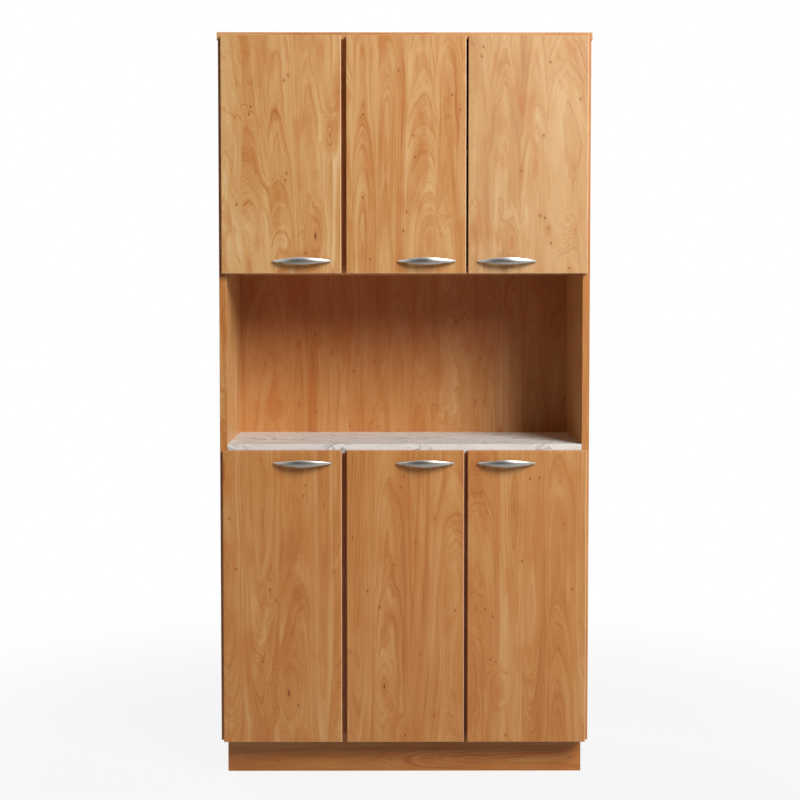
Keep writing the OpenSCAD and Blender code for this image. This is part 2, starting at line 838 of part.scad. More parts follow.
module wall_hole(deep) {
    translate([0, 0, wall_hole_drop]) y_rod(-deep, bracket_t + past, wall_hole_d / 2);
}

module bracket_screw(grow, over) {
    translate([0, bracket_leg - bracket_w / 2, -screw_in - grow])
        cylinder(h = screw_in + bracket_t + grow + over, r = screw_d / 2 + grow);
}

module wall_brackets() {
    color(steel_colour)
        at_brackets()
            difference() {
                union() {
                    translate([-bracket_w / 2, 0, 0]) cube([bracket_w, bracket_leg, bracket_t]);
                    translate([-bracket_w / 2, 0, 0]) cube([bracket_w, bracket_t, bracket_leg]);
                }
                wall_hole(past);
                bracket_screw(fit, past);
            }
}

module wall_bracket_screws() {
    color(steel_colour)
        at_brackets()
            union() {
                bracket_screw(0, 0);
                translate([0, bracket_leg - bracket_w / 2, bracket_t])
                    cylinder(h = screw_head_t, r = screw_head_d / 2);
            }
}

// Soft pads on the boards' front edges, near each door's free edge
module door_bumpers() {
    free_edge_inset = 16;
    color(pad_colour)
        for (d = DOORS) {
            x = d[DOOR_SIDE] < 0 ? d[DOOR_X] + d[DOOR_W] - free_edge_inset : d[DOOR_X] + free_edge_inset;
            upper_lap = d[DOOR_Z] == upper_door_z ? board_t - door_top_reveal : worktop_lap;
            for (z = [d[DOOR_Z] + board_t / 2, d[DOOR_Z] + d[DOOR_H] - upper_lap / 2])
                translate([x, front_y, z])
                    y_rod(-door_gap + seat, 0, bumper_d / 2);
        }
}

// Doors. The slab's four front edges are rounded
module door_slab(d) {
    color(wood_colour) difference() {
        translate([d[DOOR_X], door_front_y, d[DOOR_Z]])
            intersection() {
                rotate([90, 0, 90])
                    linear_extrude(d[DOOR_W]) edged_section(door_t, d[DOOR_H], door_edge_r);
                translate([d[DOOR_W], 0, 0])
                    rotate([0, 0, 90])
                        linear_extrude(d[DOOR_H]) edged_section(door_t, d[DOOR_W], door_edge_r);
            }
        at_hinges(d) {
            translate([cup_u, 0, 0]) y_rod(-cup_depth - hole_fit, past, cup_r + hole_fit);
            at_cup_screws() y_rod(-screw_in, past, screw_d / 2 + fit);
        }
        at_handle(d)
            for (x = [-post_x, post_x])
                translate([x, 0, 0]) y_rod(-past, door_t + past, handle_screw_d / 2 + fit);
    }
}

module at_cup_screws() {
    for (z = [-cup_screw_pitch / 2, cup_screw_pitch / 2])
        translate([cup_screw_u, 0, z]) children();
}

// Cups with their flange, their ears and the two lugs that hold the pin
module hinge_cups(d) {
    color(steel_colour)
        at_hinges(d)
            difference() {
                union() {
                    difference() {
                        translate([cup_u, 0, 0]) y_rod(-cup_depth, cup_floor, cup_r);
                        translate([cup_u, 0, 0]) y_rod(-cup_depth + cup_floor, cup_floor + past, cup_in_r);
                    }
                    difference() {
                        union() {
                            translate([cup_u, 0, 0]) y_rod(0, cup_floor, cup_r + flange_over);
                            translate([cup_screw_u - ear_r, 0, -cup_screw_pitch / 2])
                                cube([2 * ear_r, cup_floor, cup_screw_pitch]);
                            at_cup_screws() y_rod(0, cup_floor, ear_r);
                        }
                        translate([cup_u, 0, 0]) y_rod(-past, cup_floor + past, cup_in_r);
                    }
                    intersection() {
                        translate([cup_u, 0, 0]) y_rod(-cup_depth, 0, cup_r);
                        hinge_lugs();
                    }
                }
                at_cup_screws() y_rod(-past, cup_floor + past, screw_d / 2 + fit);
                translate([pivot_in, -pivot_depth, -pin_half - fit])
                    cylinder(h = 2 * (pin_half + fit), r = pin_d / 2 + pin_clear);
            }
}

module hinge_lugs() {
    lug_in = neck_w / 2 + lug_gap;
    for (z = [-cup_r, lug_in])
        translate([cup_edge, -cup_depth, z])
            cube([pivot_in + lug_top - cup_edge, cup_depth - pivot_depth + lug_top, cup_r - lug_in]);
}

// Screws of the cups and of the handle, all from inside
module door_screws(d) {
    color(steel_colour) {
        at_hinges(d)
            at_cup_screws()
                union() {
                    y_rod(-screw_in + screw_tip_gap, cup_floor, screw_d / 2);
                    y_rod(cup_floor, cup_floor + screw_head_t, screw_head_d / 2);
                }
        at_handle(d)
            for (x = [-post_x, post_x])
                translate([x, 0, 0])
                    union() {
                        y_rod(-handle_thread, door_t, handle_screw_d / 2);
                        y_rod(door_t, door_t + handle_screw_head_t, handle_screw_head_r);
                    }
    }
}

// Places its children at a door's handle. Own frame: x along the handle from its middle,
// y from the door's front face backwards, z up
module at_handle(d) {
    x = d[DOOR_SIDE] < 0 ? d[DOOR_X] + d[DOOR_W] - handle_mid : d[DOOR_X] + handle_mid;
    translate([x, door_front_y, d[DOOR_Z] + d[DOOR_HANDLE]]) children();
}

// Bow handle: a crowned ring, cut to a leaf outline and hollowed behind, on two posts
module handle(d) {
    color(nickel_colour)
        at_handle(d)
            difference() {
                union() {
                    intersection() {
                        translate([0, bow_r - handle_out, 0])
                            rotate_extrude($fn = bow_fn)
                                translate([bow_r - bow_crown_r, 0]) circle(bow_crown_r, $fn = crown_fn);
                        leaf();
                    }
                    for (x = [-post_x, post_x])
                        translate([x, 0, 0]) y_rod(-post_l, 0, post_d / 2);
                }
                for (x = [-post_x, post_x])
                    translate([x, 0, 0]) y_rod(-handle_thread - hole_fit, past, handle_screw_d / 2 + fit);
            }
}

// The leaf outline, extruded through the bow's depth and cleared behind the bow
module leaf() {
    last = len(leaf_edge) - 1;
    difference() {
        rotate([90, 0, 0])
            linear_extrude(handle_out + past)
                polygon(concat(leaf_edge, [for (i = [last : -1 : 0]) [leaf_edge[i][0], -leaf_edge[i][1]]]));
        translate([0, inner_r - handle_out + bow_t, -handle_h])
            cylinder(h = 2 * handle_h, r = inner_r, $fn = bow_fn);
    }
}

left_side();
right_side();
top_panel();
upper_floor();
worktop();
bottom_panel();
upper_divider();
lower_divider();
lower_right_divider();
upper_back_panel();
niche_back_panel();
lower_back_panel();
back_panel_nails();
plinth_front();
plinth_left();
plinth_right();
plinth_back();
plinth_corner_blocks();
plinth_screws();
shelf(SHELVES[0]);  // upper_left_shelf
shelf(SHELVES[1]);  // upper_right_shelf
shelf(SHELVES[2]);  // lower_left_shelf
shelf(SHELVES[3]);  // lower_middle_shelf
shelf(SHELVES[4]);  // lower_right_shelf
shelf_pins();
hinge_arms();
hinge_plates();
hinge_pins();
hinge_plate_screws();
hinge_arm_screws();
cam_locks();
cam_bolts();
dowels();
wall_brackets();
wall_bracket_screws();
door_bumpers();
door_slab(upper_left);  // upper_left_door
handle(upper_left);  // upper_left_door_handle
hinge_cups(upper_left);  // upper_left_door_hinge_cups
door_screws(upper_left);  // upper_left_door_screws
door_slab(upper_middle);  // upper_middle_door
handle(upper_middle);  // upper_middle_door_handle
hinge_cups(upper_middle);  // upper_middle_door_hinge_cups
door_screws(upper_middle);  // upper_middle_door_screws
door_slab(upper_right);  // upper_right_door
handle(upper_right);  // upper_right_door_handle
hinge_cups(upper_right);  // upper_right_door_hinge_cups
door_screws(upper_right);  // upper_right_door_screws
door_slab(lower_left);  // lower_left_door
handle(lower_left);  // lower_left_door_handle
hinge_cups(lower_left);  // lower_left_door_hinge_cups
door_screws(lower_left);  // lower_left_door_screws
door_slab(lower_middle);  // lower_middle_door
handle(lower_middle);  // lower_middle_door_handle
hinge_cups(lower_middle);  // lower_middle_door_hinge_cups
door_screws(lower_middle);  // lower_middle_door_screws
door_slab(lower_right);  // lower_right_door
handle(lower_right);  // lower_right_door_handle
hinge_cups(lower_right);  // lower_right_door_hinge_cups
door_screws(lower_right);  // lower_right_door_screws
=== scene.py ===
# %% [markdown]
# # A tall kitchen cabinet
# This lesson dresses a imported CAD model. The boards, doors and fittings come from the CAD at their
# true sizes, in metres. Blender adds the finishes, the handles, the camera and the light.

# %% The frame
import bpy
import math
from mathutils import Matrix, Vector


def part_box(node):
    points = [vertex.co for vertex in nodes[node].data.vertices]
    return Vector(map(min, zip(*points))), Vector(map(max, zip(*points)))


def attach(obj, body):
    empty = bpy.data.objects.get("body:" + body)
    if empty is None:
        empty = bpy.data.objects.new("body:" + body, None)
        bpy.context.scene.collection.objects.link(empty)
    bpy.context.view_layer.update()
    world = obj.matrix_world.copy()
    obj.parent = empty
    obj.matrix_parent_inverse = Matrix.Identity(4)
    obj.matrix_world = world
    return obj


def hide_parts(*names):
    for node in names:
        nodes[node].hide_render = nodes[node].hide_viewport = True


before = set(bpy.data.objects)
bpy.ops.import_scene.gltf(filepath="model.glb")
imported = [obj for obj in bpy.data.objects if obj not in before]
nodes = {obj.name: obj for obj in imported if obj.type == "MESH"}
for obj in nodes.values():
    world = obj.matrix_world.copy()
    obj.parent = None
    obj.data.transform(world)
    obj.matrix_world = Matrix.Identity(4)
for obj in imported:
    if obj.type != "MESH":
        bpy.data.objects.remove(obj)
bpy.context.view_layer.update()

# %% [markdown]
# ## The camera
# The photograph looks straight at the front, from the height of a standing person's chest, and its
# upright edges stay upright, as with a shifted lens. A shift as large as that would cut off the
# other views, so this camera has a small shift and a tilt of three degrees instead. Its place and
# lens are the ones that then bring the cabinet's edges closest to the photograph's.

# %% The camera
PHOTO_SIZE = 800
FOCAL_PIXELS = 1543.8
SENSOR_MM = 36
TILT_DOWN = math.radians(2.806)
TURN = math.radians(-0.230)

lens_data = bpy.data.cameras.new("photo_camera")
lens_data.sensor_width = SENSOR_MM
lens_data.lens = FOCAL_PIXELS / PHOTO_SIZE * SENSOR_MM
lens_data.shift_y = -0.035
camera = bpy.data.objects.new("photo_camera", lens_data)
bpy.context.scene.collection.objects.link(camera)
bpy.context.scene.camera = camera
camera.location = (-0.0263, -3.900, 1.180)
camera.rotation_euler = (math.pi / 2 - TILT_DOWN, 0, TURN)
print("camera lens mm:", round(lens_data.lens, 2))

# %% [markdown]
# ## Shader maths in words
# A shader is a web of nodes, and a formula is easier to read than a web. A `Wire` holds one socket.
# Adding, subtracting, multiplying or dividing wires puts the Math nodes in, and `node` adds any other
# node with its settings and the values of its sockets.

# %% Colours
def paint(red, green, blue):
    """A colour as a picture editor shows it, 0 to 255, as the shader wants it."""
    def straight(c):
        c /= 255
        return c / 12.92 if c <= 0.04045 else ((c + 0.055) / 1.055) ** 2.4
    return (straight(red), straight(green), straight(blue), 1)


# %% Wires
class Wire:
    """One socket of a shader. Expressions on wires add Math nodes."""

    def __init__(self, tree, socket=None):
        self.tree = tree
        self.socket = socket

    def node(self, kind, settings=None, sockets=None, out=0):
        made = self.tree.nodes.new("ShaderNode" + kind)
        for key, value in (settings or {}).items():
            if key == "stops":
                stops = made.color_ramp.elements
                while len(stops) < len(value):
                    stops.new(0.5)
                for stop, (place, colour) in zip(stops, value):
                    stop.position = place
                    stop.color = colour
            else:
                setattr(made, key, value)
        for key, value in (sockets or {}).items():
            if isinstance(value, Wire):
                self.tree.links.new(value.socket, made.inputs[key])
            else:
                made.inputs[key].default_value = value
        return None if out is None else Wire(self.tree, made.outputs[out])

    def maths(self, operation, *values):
        return self.node("Math", {"operation": operation}, dict(enumerate(values)))

    def __add__(self, other):
        return self.maths("ADD", self, other)

    def __sub__(self, other):
        return self.maths("SUBTRACT", self, other)

    def __rsub__(self, other):
        return self.maths("SUBTRACT", other, self)

    def __mul__(self, other):
        return self.maths("MULTIPLY", self, other)

    def __truediv__(self, other):
        return self.maths("DIVIDE", self, other)

    def __pow__(self, other):
        return self.maths("POWER", self, other)

    __radd__ = __add__
    __rmul__ = __mul__

    def fade(self, start, end):
        """0 before start, 1 after end, smooth between them."""
        return self.node("MapRange", {"interpolation_type": "SMOOTHSTEP"}, {0: self, 1: start, 2: end})

    def noise(self, size, detail=2.0, roughness=0.5):
        """Noise of a vector, around 0.5."""
        return self.node("TexNoise", None, {"Vector": self, "Scale": size, "Detail": detail,
                                            "Roughness": roughness})

    def flat_noise(self, other, detail=1.0, roughness=0.5):
        """Noise over two values, around 0.5. It is quicker than noise of a vector."""
        spot = self.node("CombineXYZ", None, {0: self, 1: other})
        return self.node("TexNoise", {"noise_dimensions": "2D"},
                         {"Vector": spot, "Scale": 1.0, "Detail": detail, "Roughness": roughness})

    def scattered(self, other):
        """The distance to the nearest of many points over two values, and a chance for each point."""
        spot = self.node("CombineXYZ", None, {0: self, 1: other})
        near = self.node("TexVoronoi", {"voronoi_dimensions": "2D"}, {"Vector": spot, "Scale": 1.0},
                         out="Distance")
        colour = Wire(self.tree, near.socket.node.outputs["Color"])
        return near, self.node("SeparateColor", None, {0: colour}, out=0)

    def blend(self, first, second, mode="MIX"):
        """Colour first where this wire is 0, colour second, or both mixed, where it is 1."""
        return self.node("Mix", {"data_type": "RGBA", "blend_type": mode},
                         {0: self, 6: first, 7: second}, out=2)

    def two_tone(self, dark, light):
        """A colour between two, from a wire around 0.5."""
        return self.node("ValToRGB", {"stops": [(0.3, dark), (0.7, light)]}, {0: self})


# %% New finishes
def new_finish(name):
    """An empty material. Returns it, a wire to start expressions from, and its shader node."""
    finish = bpy.data.materials.new(name)
    finish.use_nodes = True
    shader = finish.node_tree.nodes["Principled BSDF"]
    return finish, Wire(finish.node_tree), shader


def feed(shader, **values):
    """Links wires to the sockets of a shader node, and sets plain values on them."""
    for key, value in values.items():
        socket = shader.inputs[key.replace("_", " ")]
        if isinstance(value, Wire):
            value.tree.links.new(value.socket, socket)
        else:
            socket.default_value = value


# %% [markdown]
# ## Background and lamp
# The photograph has a white background and one large soft lamp at the upper right. The soft edges of
# the shadows in the niche tell how large: seen from there, the lamp reaches from 16 to about 50
# degrees above the horizon and as far to the side. A second lamp stands behind the cabinet. It lights
# the back and the left side, and none of the faces that the photograph shows. It isn't mirrored,
# because its image would bleach the cabinet's top. The world is white for the camera and in
# reflections, except where the dark room behind the photographer or the dim wall behind the cabinet
# is mirrored, and it is dim for the rest.

# %% Background
def shown_as_white(start):
    """A value that is 1 for camera, glossy and transmission rays."""
    rays = {name: start.node("LightPath", None, None, out=name)
            for name in ("Is Camera Ray", "Is Glossy Ray", "Is Transmission Ray")}
    first = start.maths("MAXIMUM", rays["Is Camera Ray"], rays["Is Glossy Ray"])
    return start.maths("MAXIMUM", first, rays["Is Transmission Ray"])


ROOM_LIGHT = 0.04
ROOM_COLOUR = (1.0, 0.93, 0.86, 1)
DARK_ROOM = 0.95
DIM_WALL = 0.65
world = bpy.data.worlds.new("studio")
bpy.context.scene.world = world
world.use_nodes = True
world.node_tree.nodes.clear()
sky = Wire(world.node_tree)
heading = sky.node("TexCoord", None, None, out="Generated")
towards_front = 0 - heading.node("SeparateXYZ", None, {0: heading}, out="Y")
mirrored = sky.node("LightPath", None, None, out="Is Glossy Ray")
dark_room = towards_front.fade(0.64, 0.93) * mirrored
dim_wall = (0 - towards_front).fade(0.35, 0.85) * mirrored
brightness = 1 - dark_room * DARK_ROOM - dim_wall * DIM_WALL
paper = sky.node("Background", None, {"Color": (1, 1, 1, 1), "Strength": brightness})
room = sky.node("Background", None, {"Color": ROOM_COLOUR, "Strength": ROOM_LIGHT})
both = sky.node("MixShader", None, {0: shown_as_white(sky), 1: room, 2: paper})
sky.node("OutputWorld", None, {"Surface": both}, out=None)
print("world nodes:", len(world.node_tree.nodes))

# %% The lamps
LAMP_COLOUR = (1.0, 0.97, 0.93)


def soft_lamp(name, place, aim, width, height, power):
    """A rectangular lamp that looks at a point."""
    data = bpy.data.lights.new(name, "AREA")
    data.shape = "RECTANGLE"
    data.size = width
    data.size_y = height
    data.energy = power
    data.color = LAMP_COLOUR
    lamp = bpy.data.objects.new(name, data)
    bpy.context.scene.collection.objects.link(lamp)
    lamp.location = place
    lamp.rotation_euler = (Vector(aim) - Vector(place)).to_track_quat("-Z", "Y").to_euler()
    print("lamp", name, "W:", power)
    return lamp


soft_lamp("main_lamp", (2.63, -3.53, 3.57), (0, -0.15, 1.0), 2.3, 2.57, 290)
back_lamp = soft_lamp("back_lamp", (-3.1, 3.0, 2.7), (0, 0.15, 0.9), 2.3, 2.3, 170)
back_lamp.visible_glossy = False
bpy.context.scene.view_settings.view_transform = "Standard"

# %% [markdown]
# ## Floor
# The floor is white paper. It is faded out with the distance, so that no horizon shows, and it keeps
# the soft shadow of the cabinet.

# %% Floor
WHITE_NEAR = 0.88
FADE_START, FADE_END = 0.8, 2.2


def lone_primitive(adder, name, **settings):
    """Adds a primitive with nothing else selected and gives it a name."""
    bpy.ops.object.select_all(action="DESELECT")
    adder(**settings)
    made = bpy.context.active_object
    made.name = made.data.name = name
    return made


floor = lone_primitive(bpy.ops.mesh.primitive_circle_add, "floor", vertices=96, radius=9,
                       fill_type="NGON", location=(0, 0, 0))
floor_finish, start, shader = new_finish("floor_paper")
feed(shader, Base_Color=(0.45, 0.45, 0.45, 1), Roughness=0.9)
place = start.node("TexCoord", None, None, out="Object")
far = place.node("VectorMath", {"operation": "LENGTH"}, {0: place}, out="Value")
white = start.node("Emission", None, {"Color": (1, 1, 1, 1), "Strength": 1.0})
seen = start.node("LightPath", None, None, out="Is Camera Ray")
lift = seen * (WHITE_NEAR + far.fade(FADE_START, FADE_END) * (1 - WHITE_NEAR))
lit = Wire(floor_finish.node_tree, shader.outputs[0])
mixed = start.node("MixShader", None, {0: lift, 1: lit, 2: white})
output = floor_finish.node_tree.nodes["Material Output"]
floor_finish.node_tree.links.new(mixed.socket, output.inputs["Surface"])
floor.data.materials.append(floor_finish)
print("floor faces:", len(floor.data.polygons))

# %% [markdown]
# ## Wood decor
# The doors and boards have a foil with the picture of a fruit wood board that is glued from staves,
# strips of 60 to 80 mm, each a little lighter or redder than the next. In a stave the year rings show
# as nested arches, because the saw cut the log along its length. An image could show that, but it
# would repeat. A formula doesn't, and it stays sharp from near by. It works on two lengths in metres,
# u across the grain and w along it, and it is built up in the next cells: staves, rings, knots, lines.

# %% Colours of the wood
# The pale wood of the painted sheen.
SHEEN_PALE_WOOD = paint(205, 181, 144)
LIGHT_WOOD = paint(228, 197, 148)
HONEY_WOOD = paint(211, 163, 106)
WARM_WOOD = paint(194, 131, 68)
LATE_WOOD = paint(170, 95, 38)
RED_WOOD = paint(190, 115, 50)
KNOT_BROWN = paint(104, 50, 12)
# The colour of the painted highlight along the doors' edges.
PAINTED_GLINT = paint(240, 204, 170)
# The colour multiplied in for the painted shade at the top of the niche back.
PAINTED_SHADE_RED = (0.88, 0.66, 0.58, 1)
WOOD_STOPS = [(0.05, LATE_WOOD), (0.36, WARM_WOOD), (0.64, HONEY_WOOD), (0.98, LIGHT_WOOD)]
print("wood colours from dark to light:", len(WOOD_STOPS))

# %% Staves
STAVE_WIDTH = 0.072
STAVE_WANDER = 0.075


def stave_at(u, w, seed):
    """The stave's number, the distance from its middle, and three chances from 0 to 1."""
    wander = ((u * 9.0 + seed).flat_noise(w * 0.35 + seed) - 0.5) * STAVE_WANDER
    strip = (u + wander) / STAVE_WIDTH + seed * 3.7
    number = u.maths("FLOOR", strip)
    inside = (u.maths("FRACT", strip) - 0.5) * STAVE_WIDTH
    draw = u.node("TexWhiteNoise", {"noise_dimensions": "1D"}, {"W": number}, out="Color")
    chances = [u.node("SeparateColor", None, {0: draw}, out=c) for c in ("Red", "Green", "Blue")]
    return number, inside, chances


# %% [markdown]
# A ring is a place at one distance from the middle of the log. The middle isn't level with the board:
# it comes nearer along the grain, which draws the rings out into arches. Half of the staves are the
# other way up. Noise then bends the distance, as no tree grows quite round.

# %% Year rings
LOG_LEAN = 0.048
LOG_DEPTH = 0.035
RING_BEND = 0.030
RING_DRIFT = 0.040
OFF_MIDDLE = 0.55


def rings_at(u, w, stave, seed):
    """The distance from the log's middle, and how much of it is bend."""
    number, inside, (off_middle, upside, _) = stave
    bend = ((u * 7.0 + seed).flat_noise(w * 1.6 + number * 5.3) - 0.5) * RING_BEND
    drift = ((w * 1.9 + seed).flat_noise(number * 7.1) - 0.5) * RING_DRIFT
    sideways = inside - (off_middle - 0.5) * STAVE_WIDTH * OFF_MIDDLE
    deep = w * u.maths("SIGN", upside - 0.5) * LOG_LEAN + drift + LOG_DEPTH
    return (sideways * sideways + deep * deep) ** 0.5 + bend, bend


def ripple_at(u, w, stave, seed):
    """A small ripple on the rings, stronger in some staves than in others."""
    liveliness = stave[2][2]
    return ((u * 34.0 + seed).flat_noise(w * 9.0 + seed, 2.0) - 0.5) * (0.002 + liveliness * 0.009)


# %% [markdown]
# Round a knot the rings close to ovals. There the distance from the log's middle gives way to the
# distance from the knot, three times as long along the grain as across it, and a wobble keeps the
# ovals from looking drawn with a compass. Small knots are only dots. Both have a reddish halo.

# %% Knots
EYE_STRETCH = 3.0
DOT_WIDTH = 0.0021
DOT_HEIGHT = 0.0034


def largest(wires):
    """The largest of some wires."""
    top = wires[0]
    for wire in wires[1:]:
        top = wire.maths("MAXIMUM", top, wire)
    return top


def flow_round(ring, eyes, u, w, bend, seed):
    """Closes the rings round the eyes. Returns the rings, and lists of halos and dark marks."""
    halos, marks = [], []
    if not eyes:
        return ring, halos, marks
    wobble = 1 + ((u * 60.0 + seed).flat_noise(w * 24.0 + seed, 2.0) - 0.5) * 1.1
    for eye_u, eye_w, size, has_dark_middle in eyes:
        du = (u - eye_u + bend * 0.5) / size
        dw = (w - eye_w) / (size * EYE_STRETCH)
        near = du * du + dw * dw
        oval = (near + 0.01) ** 0.5 * size * wobble
        ring = ring + (oval - ring) * near.maths("EXPONENT", near * -0.55)
        halos.append(near.maths("EXPONENT", near * -5.0))
        if has_dark_middle:
            marks.append(1 - near.fade(0.003, 0.025))
    return ring, halos, marks


def small_knots(dots, u, w):
    """Lists of the halos and dark marks of small knots."""
    halos, marks = [], []
    for dot_u, dot_w in dots:
        du = (u - dot_u) / DOT_WIDTH
        dw = (w - dot_w) / DOT_HEIGHT
        near = du * du + dw * dw
        halos.append(near.maths("EXPONENT", near * -0.12) * 0.6)
        marks.append(1 - near.fade(0.3, 1.2))
    return halos, marks


# %% [markdown]
# What the eye reads as wood is many faint layers: dark late-wood lines and light early-wood lines at
# the rings, soft bands of several rings, threads and fibres along the grain, broad streaks, a shimmer
# across them, and short dark pores. Each layer is a noise, and a line is where a noise crosses a value.

# %% Lines and fibres
def line_where(wave, value, width):
    """1 where a noise crosses a value, and 0 from width on either side."""
    return 1 - wave.maths("ABSOLUTE", wave - value).fade(0.0, width)


def grain_layers(ring, u, w, stave, seed):
    """All the layers of the grain, by name."""
    number = stave[0]
    fine_wave = (ring * 390.0 + seed).flat_noise(number * 9.7 + w * 0.7, 1.0)
    strong_wave = (ring * 88.0 + seed + 4.0).flat_noise(number * 4.3 + w * 0.5, 1.0)
    return {
        "bands": (ring * 85.0 + seed).flat_noise(number * 3.1 + w * 0.3, 2.0, 0.6),
        "late_line": line_where(fine_wave, 0.5, 0.045),
        "early_line": line_where(fine_wave, 0.62, 0.03),
        "strong_line": line_where(strong_wave, 0.5, 0.020),
        "fibre": (u * 620.0).flat_noise(w * 10.0 + seed, 2.0, 0.6),
        "thread": (ring * 210.0 + u * 60.0 + seed).flat_noise(w * 3.0 + number * 2.3, 1.0),
        "streak": (u * 15.0 + seed).flat_noise(w * 1.2 + seed + 5.0, 2.0),
        "shimmer": (u * 34.0 + seed).flat_noise(w * 8.0 + seed + 9.0, 1.0),
        "pore": (u * 360.0 + seed).flat_noise(w * 48.0, 1.0).fade(0.70, 0.80),
        "cloud": (u * 21.0 + seed).flat_noise(w * 6.5 + seed + 13.0, 2.0).fade(0.56, 0.74),
    }


# %% [markdown]
# Each layer makes the wood a little lighter or darker, by its own weight. The weights were tried until
# the contrast, and the share of fine and coarse figure, came near the photograph's.

# %% Weights of the layers
STAVE_WEIGHT = 0.16
WEIGHTS_AROUND_HALF = {"bands": 0.58, "streak": 0.50, "shimmer": 0.22, "fibre": 0.26, "thread": 0.30}
WEIGHTS_FROM_ZERO = {"late_line": -0.15, "strong_line": -0.19, "early_line": 0.07, "pore": -0.07}


def lightness(layer, stave):
    """How much lighter or darker than the wood's middle tone a place is."""
    total = (stave[2][0] - 0.5) * STAVE_WEIGHT
    for name, weight in WEIGHTS_AROUND_HALF.items():
        total = total + (layer[name] - 0.5) * weight
    for name, weight in WEIGHTS_FROM_ZERO.items():
        total = total + layer[name] * weight
    return total


print("layers that are weighed:", 1 + len(WEIGHTS_AROUND_HALF) + len(WEIGHTS_FROM_ZERO))

# %% [markdown]
# The finish puts the layers together. The lightness picks a colour from the stops, clouds and halos
# make it redder, and specks and knots darken it. A foil has a thin lacquer, so there is a weak coat,
# and the fibres and pores are pressed into it, so they also feed the roughness and a shallow bump.
# Doors get a painted highlight, a light line along their right and bottom edges where their rounded
# edges catch the lamp, and a board's front edge may be painted darker than its faces, as painted shade.

# %% The wood finish
MIDDLE_TONE = 0.56
CLOUD_RED, TINGE_RED, HALO_RED = 0.46, 0.5, 0.55
SPECK_DARK, KNOT_DARK = 0.85, 0.8
# The painted shade on a board's front edge fades out over this depth.
SHADE_EDGE_WIDTH = 0.0008
# Width and strength of the painted highlight lines along the doors' right and bottom edges.
GLINT_FROM, GLINT_TO = 0.0012, 0.0024
RIGHT_GLINT, BOTTOM_GLINT = 0.55, 0.35


def random_specks(u, w, seed, share):
    """Scattered specks, and the reddish tinge round them."""
    near, chance = (u * 30.0 + seed).scattered(w * 14.0 + seed)
    chosen = 1 - chance.fade(share, share + 0.01)
    return chosen * (1 - near.fade(0.024, 0.052)), chosen * (1 - near.fade(0.02, 0.42))


def wood_finish(name, across, along, seed, eyes=(), dots=(), tone=0.0, contrast=0.85, redness=0.0,
                painted_sheen=0.0, clouds=CLOUD_RED, specks=0.12, painted_shade_above=None, painted_glint_right=None,
                painted_glint_bottom=None, painted_shade_front=None):
    """Wood whose grain runs along one axis.

    eyes are the places that the rings flow round: (across, along, size, has a dark middle).
    dots are small dark knots: (across, along).
    tone, contrast and redness set the whole board apart from the others; a painted sheen mixes the
    colour towards pale wood.
    clouds is how red the clouds are, and specks is the share of the random knots that show.
    Two heights may be given, between which painted shade turns the wood redder and darker.
    The right and bottom edge places are where a light line is painted: a painted highlight of a rounded
    edge catching the lamp.
    The front edge argument holds the y of a front edge that is painted darker, as painted shade, and how
    much darker it is.
    """
    finish, start, shader = new_finish(name)
    place = start.node("TexCoord", None, None, out="Object")
    split = {axis: place.node("SeparateXYZ", None, {0: place}, out=axis.upper()) for axis in "xyz"}
    third = ({"x", "y", "z"} - {across, along}).pop()
    u = split[across] + split[third]
    w = split[along]

    stave = stave_at(u, w, seed)
    ring, bend = rings_at(u, w, stave, seed)
    ring, halos, marks = flow_round(ring, eyes, u, w, bend, seed)
    dot_halos, dot_marks = small_knots(dots, u, w)
    layer = grain_layers(ring + ripple_at(u, w, stave, seed), u, w, stave, seed)
    speck, tinge = random_specks(u, w, seed, specks)

    level = lightness(layer, stave) * contrast + MIDDLE_TONE + tone
    # Painted shade: a board's front edge is darker by the given amount.
    if painted_shade_front is not None:
        front, shade = painted_shade_front
        level = level - (1 - split["y"].fade(front, front + SHADE_EDGE_WIDTH)) * shade
    colour = start.node("ValToRGB", {"stops": WOOD_STOPS}, {0: level})
    # A painted sheen: the colour mixed towards pale wood.
    if painted_sheen:
        colour = start.node("Mix", {"data_type": "RGBA"}, {0: painted_sheen, 6: colour, 7: SHEEN_PALE_WOOD}, out=2)
    reds = [layer["cloud"] * clouds, tinge * TINGE_RED]
    if halos + dot_halos:
        reds.append(largest(halos + dot_halos) * HALO_RED)
    colour = (largest(reds) + redness).blend(colour, RED_WOOD)
    darks = [speck * SPECK_DARK]
    if marks + dot_marks:
        darks.append(largest(marks + dot_marks) * KNOT_DARK)
    colour = largest(darks).blend(colour, KNOT_BROWN)
    # Painted shade: the wood turns redder and darker between two heights.
    if painted_shade_above is not None:
        colour = w.fade(*painted_shade_above).blend(colour, PAINTED_SHADE_RED, "MULTIPLY")
    # A painted highlight: a light line along a door's right and bottom edges.
    for wire, edge, strength in ((u, painted_glint_right, RIGHT_GLINT), (w, painted_glint_bottom, BOTTOM_GLINT)):
        if edge is not None:
            line = 1 - start.maths("ABSOLUTE", wire - edge).fade(GLINT_FROM, GLINT_TO)
            colour = (line * strength).blend(colour, PAINTED_GLINT)

    height = layer["fibre"] * 0.5 - layer["late_line"] * 0.3 - layer["pore"]
    bump = start.node("Bump", None, {"Strength": 0.08, "Distance": 0.0003, "Height": height})
    feed(shader, Base_Color=colour, Normal=bump, Coat_Weight=0.30, Coat_Roughness=0.30,
         Roughness=0.45 + (layer["fibre"] - 0.5) * 0.10 + layer["pore"] * 0.1)
    return finish


